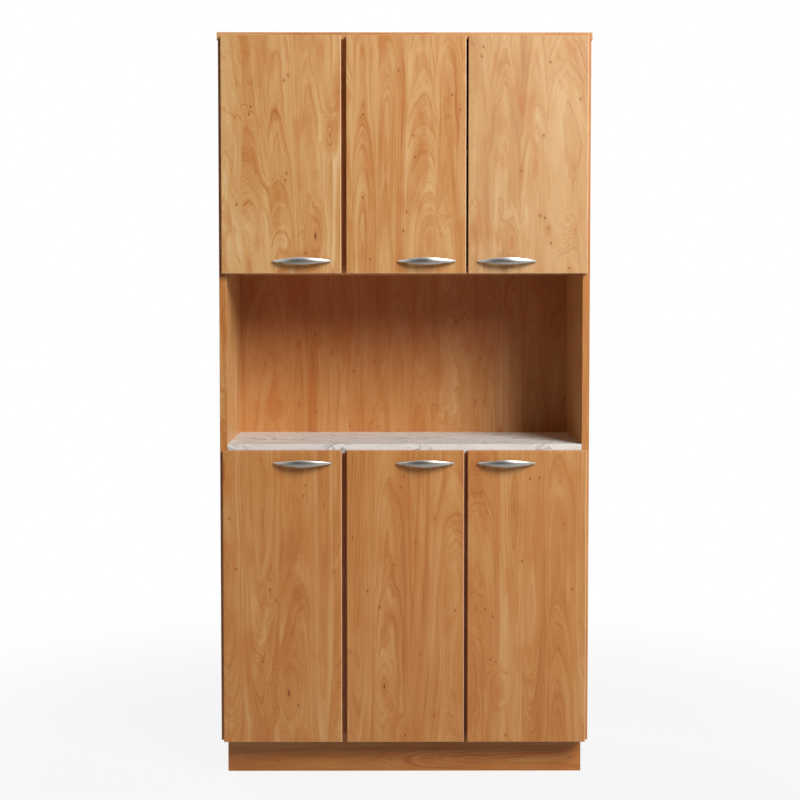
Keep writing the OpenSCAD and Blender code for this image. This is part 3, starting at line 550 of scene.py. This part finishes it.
# %% [markdown]
# ## Which wood goes where
# Every door is cut from another part of the decor, so each gets its own staves and eyes, roughly where
# the photograph has them. Their places are counted in the photograph's pixels, and two scales turn
# them into metres: one for the doors' front, one for the niche's back, which is further away. Doors
# and sides have upright grain, shelves and the plinth have grain that runs across. The front edges of
# sides and dividers are painted darker, as painted shade of the gaps between the doors and of the
# niche's edges, and the niche back is painted redder and darker towards its top, as painted shade
# under the upper cabinet.

# %% Where the knots are
DOOR_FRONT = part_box("upper_left_door")[0].y
DOOR_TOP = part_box("upper_left_door")[1].z
NICHE_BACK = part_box("niche_back_panel")[0].y
WORKTOP_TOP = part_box("worktop")[1].z
DOOR_PIXEL = 0.002427
DOOR_MIDDLE_COLUMN, DOOR_TOP_ROW = 404.25, 36.3
NICHE_PIXEL = 0.002668
NICHE_MIDDLE_COLUMN, WORKTOP_ROW = 403.7, 427.6


def on_doors(column, row):
    """A photo pixel on the doors' front, as the wood formula's two lengths."""
    return ((column - DOOR_MIDDLE_COLUMN) * DOOR_PIXEL + DOOR_FRONT,
            DOOR_TOP - (row - DOOR_TOP_ROW) * DOOR_PIXEL)


def in_niche(column, row):
    """A photo pixel on the niche's back, as the wood formula's two lengths."""
    return ((column - NICHE_MIDDLE_COLUMN) * NICHE_PIXEL + NICHE_BACK,
            WORKTOP_TOP + (WORKTOP_ROW - row) * NICHE_PIXEL)


def eyes_at(surface, *marks):
    """Eyes from photo pixels, a size in millimetres and whether they are dark."""
    return [(*surface(column, row), size / 1000, dark) for column, row, size, dark in marks]


def dots_at(surface, *marks):
    """Small knots from photo pixels."""
    return [surface(column, row) for column, row in marks]


print("doors' front y:", round(DOOR_FRONT, 4), "niche back y:", round(NICHE_BACK, 4))

# %% The doors' wood
# The lower doors' tone, some 0.15 below the upper doors', and their extra redness are painted shade, as
# the lamp lights them less; the upper right door's paleness is a painted sheen of the lamp. The rest of
# the doors' differences is the decor's own.
DOOR_WOOD = {
    "upper_left_door": dict(
        seed=1.3, tone=0.09, contrast=0.95,
        eyes=eyes_at(on_doors, (330, 134, 11, True), (314, 234, 22, True)),
        dots=dots_at(on_doors, (285, 81), (289, 76), (252, 107), (250, 114), (287, 172), (286, 179),
                     (237.5, 203))),
    "upper_middle_door": dict(
        seed=4.1, tone=-0.03, contrast=0.85, eyes=eyes_at(on_doors, (429, 240, 22, False)),
        dots=dots_at(on_doors, (398, 71), (363, 114), (412.5, 135), (414.5, 156), (362.5, 196),
                     (406, 210), (403, 229), (370, 257), (451, 95))),
    "upper_right_door": dict(
        seed=7.7, tone=0.03, contrast=1.0, painted_sheen=0.22, eyes=eyes_at(on_doors, (511, 240, 22, False)),
        dots=dots_at(on_doors, (482, 48), (480.5, 57), (548.5, 63), (578, 99), (542, 135), (539, 214),
                     (543.5, 216), (549.5, 241), (568, 266))),
    "lower_left_door": dict(
        seed=10.2, tone=-0.17, contrast=0.85, redness=0.08,
        eyes=eyes_at(on_doors, (271, 592, 11, False), (288, 693, 22, True)),
        dots=dots_at(on_doors, (228.5, 516), (305, 483), (303, 493), (235, 567), (269, 588),
                     (275, 598.5), (261.5, 661), (297, 705))),
    "lower_middle_door": dict(
        seed=13.9, tone=-0.16, contrast=0.75, redness=0.08,
        eyes=eyes_at(on_doors, (383, 686, 20, True), (404, 736, 12, True)),
        dots=dots_at(on_doors, (403.5, 474), (400, 485), (415.5, 540), (367, 589.5), (379.5, 606),
                     (349.5, 651), (455, 609))),
    "lower_right_door": dict(
        seed=17.4, tone=-0.13, contrast=0.7, redness=0.05, eyes=eyes_at(on_doors, (500, 690, 17, False)),
        dots=dots_at(on_doors, (529.5, 476), (539, 475), (522, 559), (572.5, 588), (485, 608),
                     (493, 615), (490.5, 659), (506, 736))),
}
print("doors:", len(DOOR_WOOD))

# %% The boards' wood
# The front edge shade of each upright is painted shade: these edges lie in shade in the gaps between the
# doors and beside the niche.
UPRIGHT = {
    "left_side": dict(front_shade=0.32, tone=0.11, redness=0.10, clouds=0.25, specks=0.05),
    # The right side's extra redness is partly its own tone and partly painted: it stands in for the red
    # light that bounces onto its shaded face in the niche.
    "right_side": dict(front_shade=0.26, tone=0.12, redness=0.28, clouds=0.16, specks=0.05),
    "upper_divider": dict(front_shade=0.35), "lower_divider": dict(front_shade=0.35),
    "lower_right_divider": dict(front_shade=0.35),
}
LEVEL = ("top_panel", "upper_floor", "bottom_panel", "upper_left_shelf", "upper_right_shelf",
         "lower_left_shelf", "lower_middle_shelf", "lower_right_shelf", "plinth_front", "plinth_back")
# The plinth boards are darker: painted shade of their recess under the doors.
PLINTH_SHADE_TONE, SHELF_TONE, PLINTH_END_SHADE_TONE = -0.25, -0.05, -0.2
print("boards:", len(UPRIGHT) + len(LEVEL) + 3)


# %% Giving out the wood
def give(node_name, finish):
    """Puts one finish on a CAD node."""
    mesh = nodes[node_name].data
    mesh.materials.clear()
    mesh.materials.append(finish)


# Each door gets its own wood, and a painted highlight along its right and bottom edges.
for door_name, choice in DOOR_WOOD.items():
    door_low, door_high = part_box(door_name)
    give(door_name, wood_finish("wood_" + door_name, "x", "z", **choice, specks=0.02,
                                painted_glint_right=door_high.x + door_low.y, painted_glint_bottom=door_low.z))
# Uprights get painted shade on their front edges.
for place_in_row, (board, choice) in enumerate(UPRIGHT.items()):
    painted_shade_band = (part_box(board)[0].y, choice.pop("front_shade"))
    give(board, wood_finish("wood_" + board, "y", "z", seed=30 + 3.1 * place_in_row,
                            painted_shade_front=painted_shade_band, **choice))
for place_in_row, board in enumerate(LEVEL):
    turned, tone = ("z", PLINTH_SHADE_TONE) if board.startswith("plinth") else ("y", SHELF_TONE)
    give(board, wood_finish("wood_" + board, turned, "x", seed=60 + 3.7 * place_in_row, tone=tone))
for board in ("plinth_left", "plinth_right"):
    give(board, wood_finish("wood_" + board, "z", "y", seed=95.0, tone=PLINTH_END_SHADE_TONE))
# The niche back gets painted shade towards its top, under the upper cabinet.
give("niche_back_panel", wood_finish(
    "wood_niche_back", "x", "z", seed=21.6, tone=-0.10, contrast=0.8, redness=0.25, specks=0.03,
    painted_shade_above=(WORKTOP_TOP + 0.07, WORKTOP_TOP + 0.36),
    eyes=eyes_at(in_niche, (436, 366, 32, False), (280, 404, 18, False)),
    dots=dots_at(in_niche, (316, 331), (332, 348), (354, 367), (316, 408), (479.5, 354), (456, 317))))
print("wood finishes:", sum(m.name.startswith("wood_") for m in bpy.data.materials))

# %% [markdown]
# ## Worktop
# The worktop is a laminate with a pale marble print. A picture could give it, but noise does it as
# well: soft clouds, and thin grey veins where a noise crosses its middle, pushed about by another one.

# %% Marble laminate
def marble_finish():
    finish, start, shader = new_finish("marble_laminate")
    place = start.node("TexCoord", None, None, out="Object")
    drawn_out = start.node("Mapping", None, {"Vector": place, "Scale": (0.6, 0.85, 1.0)})
    clouds = drawn_out.noise(13.0, 3.0, 0.6)
    shift = drawn_out.noise(9.0, 2.0)
    pushed = start.node("VectorMath", {"operation": "ADD"}, {0: drawn_out, 1: start.node(
        "CombineXYZ", None, {0: shift * 0.16, 1: shift * 0.10, 2: shift * 0.05})})
    vein_wave = start.maths("ABSOLUTE", pushed.noise(17.0, 3.0, 0.6) - 0.5)
    vein = (1 - vein_wave.fade(0.0, 0.035)) * clouds.fade(0.44, 0.58)
    mottle = pushed.noise(46.0, 3.0, 0.65)
    ramp = start.node("ValToRGB", {"stops": [(0.28, paint(200, 197, 196)), (0.48, paint(226, 227, 226)),
                                             (0.72, paint(240, 240, 239))]},
                      {0: clouds * 0.5 + mottle * 0.5})
    colour = (vein * 0.72 + mottle.fade(0.60, 0.76) * 0.24).blend(ramp, paint(140, 135, 136))
    feed(shader, Base_Color=colour, Roughness=0.62 + (mottle - 0.5) * 0.1,
         Specular_IOR_Level=0.15)
    return finish


# %% [markdown]
# ## Other finishes
# Handles are satin nickel, fittings are bright plated steel and grey cast zinc. Polished metal would
# need only a colour and a low roughness, but these are tumbled or cast, so a fine speckle and a wide
# smear vary both. The back of the cabinet is bare hardboard, felted brown fibres. Dowels and corner
# blocks are plain beech with short flecks, and the doors close on small felt pads.

# %% Metals
METAL_SHADE = 0.86


def metal_finish(name, colour, roughness, grain=900.0, metallic=1.0):
    finish, start, shader = new_finish(name)
    place = start.node("TexCoord", None, None, out="Object")
    speckle = place.noise(grain, 2.0)
    smear = place.noise(38.0, 2.0)
    shade = (smear * 0.5 + speckle * 0.5).blend([c * METAL_SHADE for c in colour[:3]] + [1], colour)
    bump = start.node("Bump", None, {"Strength": 0.06, "Distance": 0.0002, "Height": speckle})
    feed(shader, Base_Color=shade, Metallic=metallic, Normal=bump,
         Roughness=roughness + (smear - 0.5) * 0.12 + (speckle - 0.5) * 0.06)
    return finish


# %% Hardboard, beech and felt
def hardboard_finish():
    finish, start, shader = new_finish("hardboard")
    place = start.node("TexCoord", None, None, out="Object")
    felt = place.noise(420.0, 4.0, 0.7)
    stain = place.noise(3.0, 3.0)
    ramp = (felt * 0.6 + stain * 0.4).two_tone(paint(122, 86, 56), paint(158, 118, 80))
    bump = start.node("Bump", None, {"Strength": 0.2, "Distance": 0.0005, "Height": felt})
    feed(shader, Base_Color=ramp, Roughness=0.78, Normal=bump)
    return finish


def beech_finish():
    finish, start, shader = new_finish("beech")
    place = start.node("TexCoord", None, None, out="Object")
    flecks = start.node("Mapping", None, {"Vector": place, "Scale": (90, 600, 600)}).noise(1.0, 2.0)
    feed(shader, Base_Color=flecks.two_tone(paint(196, 158, 112), paint(226, 194, 150)), Roughness=0.6)
    return finish


def pad_finish():
    finish, start, shader = new_finish("bumper_felt")
    place = start.node("TexCoord", None, None, out="Object")
    cloudy = place.noise(700.0, 2.0)
    feed(shader, Base_Color=cloudy.two_tone(paint(196, 190, 178), paint(222, 217, 206)),
         Roughness=0.7 + (cloudy - 0.5) * 0.2)
    return finish


# %% Giving out the other finishes
marble = marble_finish()
steel = metal_finish("plated_steel", paint(176, 178, 182), 0.30)
zinc = metal_finish("cast_zinc", paint(150, 150, 150), 0.46, grain=500.0)
nickel = metal_finish("satin_nickel", paint(208, 205, 200), 0.29, grain=1400.0)
hardboard = hardboard_finish()
beech = beech_finish()
pad = pad_finish()
FINISH_OF = {
    "worktop": marble, "upper_back_panel": hardboard, "lower_back_panel": hardboard,
    "back_panel_nails": steel, "plinth_corner_blocks": beech, "plinth_screws": steel,
    "shelf_pins": steel, "hinge_arms": steel, "hinge_plates": zinc, "hinge_pins": steel,
    "hinge_plate_screws": steel, "hinge_arm_screws": steel, "cam_locks": zinc, "cam_bolts": steel,
    "dowels": beech, "wall_brackets": steel, "wall_bracket_screws": steel, "door_bumpers": pad,
}
for node_name, finish in FINISH_OF.items():
    give(node_name, finish)
for door_name in DOOR_WOOD:
    give(door_name + "_hinge_cups", steel)
    give(door_name + "_screws", steel)
print("fitting finishes:", len(FINISH_OF) + 2 * len(DOOR_WOOD))

# %% [markdown]
# ## Bow handles
# Each handle is a cast metal leaf that swells in the middle, is bowed away from the door and stands
# on two round posts. A block is cut across into slices, its front is crowned row by row, and every
# slice is then scaled to the leaf's outline and moved out to the bow's arc, as a hand would pull it.

# %% The bow's measures
HANDLE_LENGTH = 0.140
HANDLE_HEIGHT = 0.0185
STAND_OUT = 0.025
TIP_OUT = 0.006
MID_THICK = 0.007
TIP_THICK = 0.003
TIP_HEIGHT = 0.004
FULLNESS = 1.35
CROWN_RADIUS = 0.022
POST_SPACING = 0.096
POST_WIDTH = 0.008
POST_BEVEL = 0.0005
EDGE_BEVEL = 0.0009
NEAR = 1e-5


print("handle mm:", HANDLE_LENGTH * 1000, "x", HANDLE_HEIGHT * 1000)

# %% The bow's curves
def arc(x, reach, drop):
    """Height of an arc over its chord: reach in the middle, reach - drop at the handle's tips."""
    half = HANDLE_LENGTH / 2
    radius = (half * half + drop * drop) / (2 * drop)
    return reach - radius + math.sqrt(radius * radius - x * x)


def leaf_half_height(x):
    """Half of the leaf's height, nearly straight tapers from the middle to the tips."""
    share = abs(x) / (HANDLE_LENGTH / 2)
    return (TIP_HEIGHT + (HANDLE_HEIGHT - TIP_HEIGHT) * (1 - share ** FULLNESS)) / 2


def bow_front(x):
    return arc(x, STAND_OUT, STAND_OUT - TIP_OUT)


def bow_back(x):
    return arc(x, STAND_OUT - MID_THICK, STAND_OUT - MID_THICK - (TIP_OUT - TIP_THICK))


AT_POST = POST_SPACING / 2
print("bow front and back at a post:", [round(f(AT_POST) * 1000, 2) for f in (bow_front, bow_back)])

# %% [markdown]
# By hand, one would click on the edges to cut and drag the slices. In code, `pick` does the clicking:
# it selects what lies at a place. `settle` and `apply_modifier` do what Ctrl+A does by hand.

# %% Modelling helpers
def pick(piece, mode, wanted):
    """Selects, in edit mode, only the vertices or edges of a piece for which wanted() is true."""
    bpy.ops.mesh.select_mode(type=mode)
    bpy.ops.mesh.select_all(action="DESELECT")
    bpy.ops.object.mode_set(mode="OBJECT")
    mesh = piece.data
    things = mesh.vertices if mode == "VERT" else mesh.edges
    count = 0
    for thing in things:
        if mode == "VERT":
            thing.select = wanted(thing.co)
        else:
            a, b = (mesh.vertices[v].co for v in thing.vertices)
            thing.select = wanted(a, b)
        count += thing.select
    bpy.ops.object.mode_set(mode="EDIT")
    return count


def settle(piece):
    """Applies place, turn and scale, so that the piece's object sits at the origin."""
    bpy.ops.object.select_all(action="DESELECT")
    piece.select_set(True)
    bpy.context.view_layer.objects.active = piece
    bpy.ops.object.transform_apply(location=True, rotation=True, scale=True)


def apply_modifier(piece, kind, **settings):
    bpy.context.view_layer.objects.active = piece
    modifier = piece.modifiers.new(kind.lower(), kind)
    for key, value in settings.items():
        setattr(modifier, key, value)
    bpy.ops.object.modifier_apply(modifier=modifier.name)


# %% [markdown]
# A curve with a bevel could make the bow too, but its section would stay the same shape. The block is
# cut into slices along the leaf and rows up the leaf, so that the section can change on the way.

# %% One handle, in the middle of the frame
SLICES = 23
ROWS = 5
bow = lone_primitive(bpy.ops.mesh.primitive_cube_add, "bow", size=1, location=(0, 0, 0))
bow.scale = (HANDLE_LENGTH, 1, 1)
settle(bow)
bpy.ops.object.mode_set(mode="EDIT")
pick(bow, "EDGE", lambda a, b: abs(a.z - b.z) > 0.5)
bpy.ops.mesh.subdivide(number_cuts=ROWS)
pick(bow, "EDGE", lambda a, b: abs(a.x - b.x) > HANDLE_LENGTH / 2)
bpy.ops.mesh.subdivide(number_cuts=SLICES)

for slice_number in range(SLICES + 2):
    x = (slice_number / (SLICES + 1) - 0.5) * HANDLE_LENGTH
    half = leaf_half_height(x)
    front, back = bow_front(x), bow_back(x)
    pick(bow, "VERT", lambda co: abs(co.x - x) < NEAR)
    bpy.ops.transform.resize(value=(1, front - back, 2 * half))
    bpy.ops.transform.translate(value=(0, -(front + back) / 2, 0))
    for row in range(ROWS + 2):
        z = (row / (ROWS + 1) - 0.5) * 2 * half
        crown = CROWN_RADIUS - math.sqrt(CROWN_RADIUS ** 2 - z * z)
        crown = min(crown, (front - back) * 0.6)
        middle = -(front + back) / 2
        if pick(bow, "VERT", lambda co: abs(co.x - x) < NEAR and abs(co.z - z) < NEAR / 10
                and co.y < middle):
            bpy.ops.transform.translate(value=(0, crown, 0))
bpy.ops.object.mode_set(mode="OBJECT")
print("bow vertices:", len(bow.data.vertices))

# %% [markdown]
# A casting has no sharp edges, so a bevel rounds the rim and a subdivision surface smooths the slices.
# The posts are cylinders that end inside the bow. A union makes one closed body of the three.

# %% Soften the bow and set it on its posts
apply_modifier(bow, "BEVEL", width=EDGE_BEVEL, segments=2, limit_method="ANGLE",
               angle_limit=math.radians(50))
apply_modifier(bow, "SUBSURF", levels=2, render_levels=2)
posts = []
for x in (-AT_POST, AT_POST):
    top = (bow_front(x) + bow_back(x)) / 2
    post = lone_primitive(bpy.ops.mesh.primitive_cylinder_add, "post", vertices=40,
                          radius=POST_WIDTH / 2, depth=top, location=(x, -top / 2, 0),
                          rotation=(math.pi / 2, 0, 0))
    settle(post)
    bpy.ops.object.mode_set(mode="EDIT")
    pick(post, "EDGE", lambda a, b: max(abs(a.y), abs(b.y)) < NEAR)
    bpy.ops.mesh.bevel(offset=POST_BEVEL, segments=2)
    bpy.ops.object.mode_set(mode="OBJECT")
    posts.append(post)
for post in posts:
    apply_modifier(bow, "BOOLEAN", operation="UNION", object=post, solver="EXACT")
    bpy.data.objects.remove(post)
bpy.ops.object.select_all(action="DESELECT")
bow.select_set(True)
bpy.context.view_layer.objects.active = bow
bpy.ops.object.shade_smooth_by_angle(angle=math.radians(40))
bow.data.materials.append(nickel)
print("handle triangles:", sum(len(p.vertices) - 2 for p in bow.data.polygons))

# %% [markdown]
# All six handles are alike, so the bow is modelled once. Each copy gets a mesh of its own, because its
# place goes into the mesh, and rides on its door, so that it swings with it.

# %% Copies on the six doors
for door_name in DOOR_WOOD:
    low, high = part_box(door_name + "_handle")
    handle = bow.copy()
    handle.data = bow.data.copy()
    handle.name = handle.data.name = door_name + "_bow_handle"
    bpy.context.scene.collection.objects.link(handle)
    handle.location = ((low.x + high.x) / 2, high.y, (low.z + high.z) / 2)
    settle(handle)
    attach(handle, door_name)
    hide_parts(door_name + "_handle")
    print(handle.name, "front mm:", round(min(v.co.y for v in handle.data.vertices) * 1000, 2))
bpy.data.objects.remove(bow)
